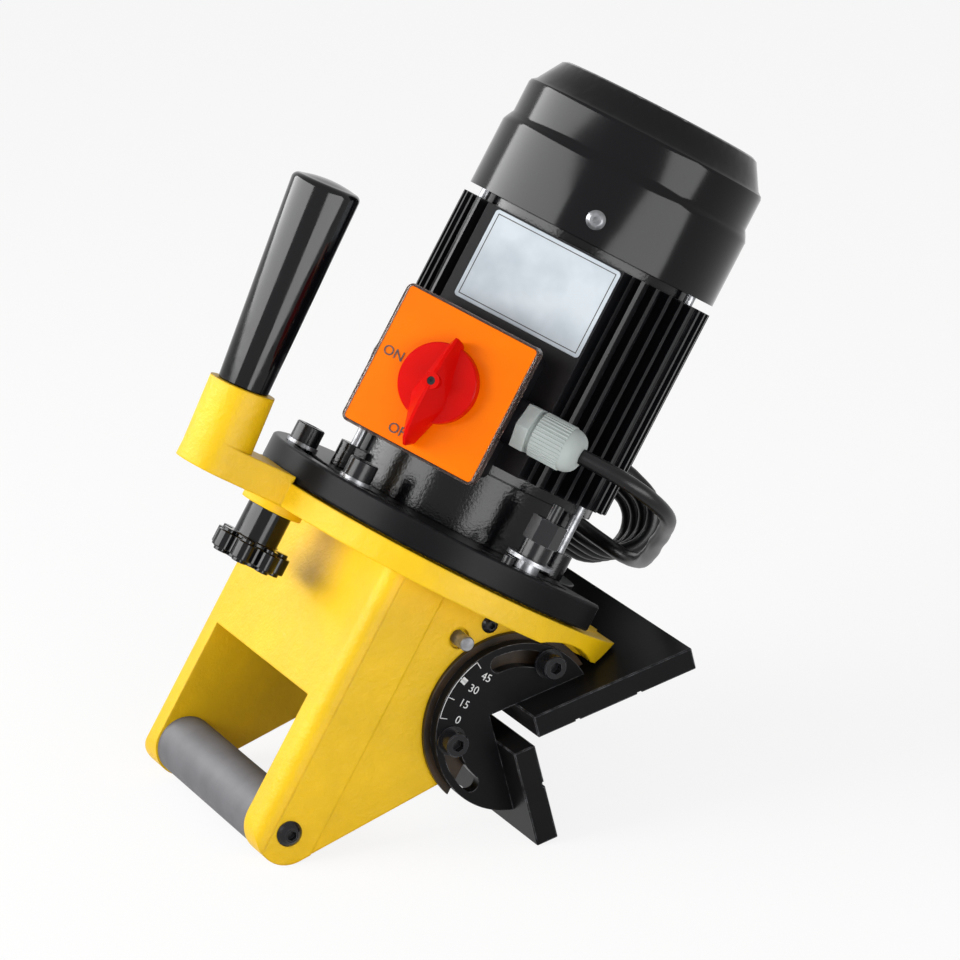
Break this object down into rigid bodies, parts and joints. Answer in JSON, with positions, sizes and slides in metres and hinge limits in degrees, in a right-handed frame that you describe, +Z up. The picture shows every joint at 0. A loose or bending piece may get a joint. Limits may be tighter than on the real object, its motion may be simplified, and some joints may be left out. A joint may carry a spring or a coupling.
{
  "type": "portable chamfering machine",
  "caption": "Hand-held edge chamfering machine: upright electric motor on an eccentric depth ring, cast base with grip and handle, swinging V of guide plates round a milling cutter.",
  "frame": {"origin": "bottom centre of the machine's box without the free cable, on the surface it stands on", "axes": "+Z up, the V of the guides towards +X, +Y away from the switch's side, along the guides"},
  "size_m": [0.3306, 0.3006, 0.387],
  "materials": {
    "yellow_enamel": "gloss",
    "black_enamel": "gloss",
    "cast_motor_metal": "gloss",
    "cover_steel": "gloss",
    "browned_steel": "satin",
    "black_fasteners": "satin",
    "bright_steel": "satin",
    "core_plates": "matte",
    "copper_wire": "satin",
    "coated_carbide": "satin",
    "grey_rubber": "matte",
    "handle_bakelite": "satin",
    "box_plastic": "satin",
    "orange_plastic": "gloss",
    "red_plastic": "gloss",
    "clear_plastic": "gloss",
    "gland_nylon": "satin",
    "cable_rubber": "satin",
    "strap_nylon": "matte",
    "pin_metal": "polished"
  },
  "bodies": {
    "base": {"base_casting": "yellow_enamel", "wear_disc_near": "browned_steel", "wear_disc_far": "browned_steel", "index_pins": "bright_steel", "quadrant_screws": "black_fasteners", "quadrant_washers": "black_fasteners", "register_screw": "black_fasteners", "grip_sleeve": "grey_rubber", "grip_rod": "bright_steel", "grip_screws": "black_fasteners", "side_handle": "handle_bakelite", "handle_stud": "bright_steel", "ring_screws": "black_fasteners", "ring_studs": "bright_steel", "ring_washers": "bright_steel", "ring_nuts": "black_fasteners"},
    "guide_carrier": {"quadrant_near": "browned_steel", "quadrant_far": "browned_steel", "upper_guide": "browned_steel", "lower_guide": "browned_steel", "guide_screws": "bright_steel"},
    "motor_head": {"depth_ring": "black_enamel", "stop_pin": "black_fasteners", "front_shield": "cast_motor_metal", "stator_housing": "cast_motor_metal", "nameplate": "bright_steel", "tie_rods": "bright_steel", "tie_rod_nuts": "bright_steel", "rear_shield": "cast_motor_metal", "fan_cover": "cover_steel", "cover_screws": "bright_steel", "stator_core": "core_plates", "stator_windings": "copper_wire", "front_bearing": "bright_steel", "rear_bearing": "bright_steel", "switch_box": "box_plastic", "switch_core": "box_plastic", "switch_plate": "orange_plastic", "switch_guard": "clear_plastic", "gland_body": "gland_nylon", "gland_cap": "gland_nylon", "cable_lead": "cable_rubber", "cable_hank": "cable_rubber", "hank_tie": "strap_nylon", "plug_body": "box_plastic", "plug_pins": "pin_metal"},
    "rotor": {"motor_shaft": "bright_steel", "rotor_core": "core_plates", "cooling_fan": "box_plastic", "cutter_head": "bright_steel", "cutter_inserts": "coated_carbide", "insert_screws": "black_fasteners", "cutter_bolt": "black_fasteners"},
    "dial": {"switch_knob": "red_plastic", "dial_screw": "bright_steel"},
    "clamp": {"clamp_knob": "handle_bakelite", "clamp_stud": "bright_steel"}
  },
  "joints": [
    {"name": "guide_swing", "type": "hinge", "parent": "base", "child": "guide_carrier", "pos_m": [-0.01302, 0.00201, 0.05975], "axis": [0, 1, 0], "range_deg": [0, 45]},
    {"name": "ring_turn", "type": "hinge", "parent": "base", "child": "motor_head", "pos_m": [-0.01731, 0.00201, 0.13215], "axis": [0.5012, 0, 0.8653], "range_deg": [-15, 15]},
    {"name": "rotor_spin", "type": "hinge", "parent": "motor_head", "child": "rotor", "pos_m": [-0.01731, 0.00501, 0.13215], "axis": [0.5012, 0, 0.8653], "continuous": true},
    {"name": "dial_turn", "type": "hinge", "parent": "motor_head", "child": "dial", "pos_m": [-0.04852, -0.06641, 0.24614], "axis": [-0.6119, -0.7071, 0.3544], "range_deg": [0, 90]},
    {"name": "clamp_turn", "type": "hinge", "parent": "base", "child": "clamp", "pos_m": [-0.12476, 0.00201, 0.14815], "axis": [0.5012, 0, 0.8653], "range_deg": [0, 270]}
  ]
}
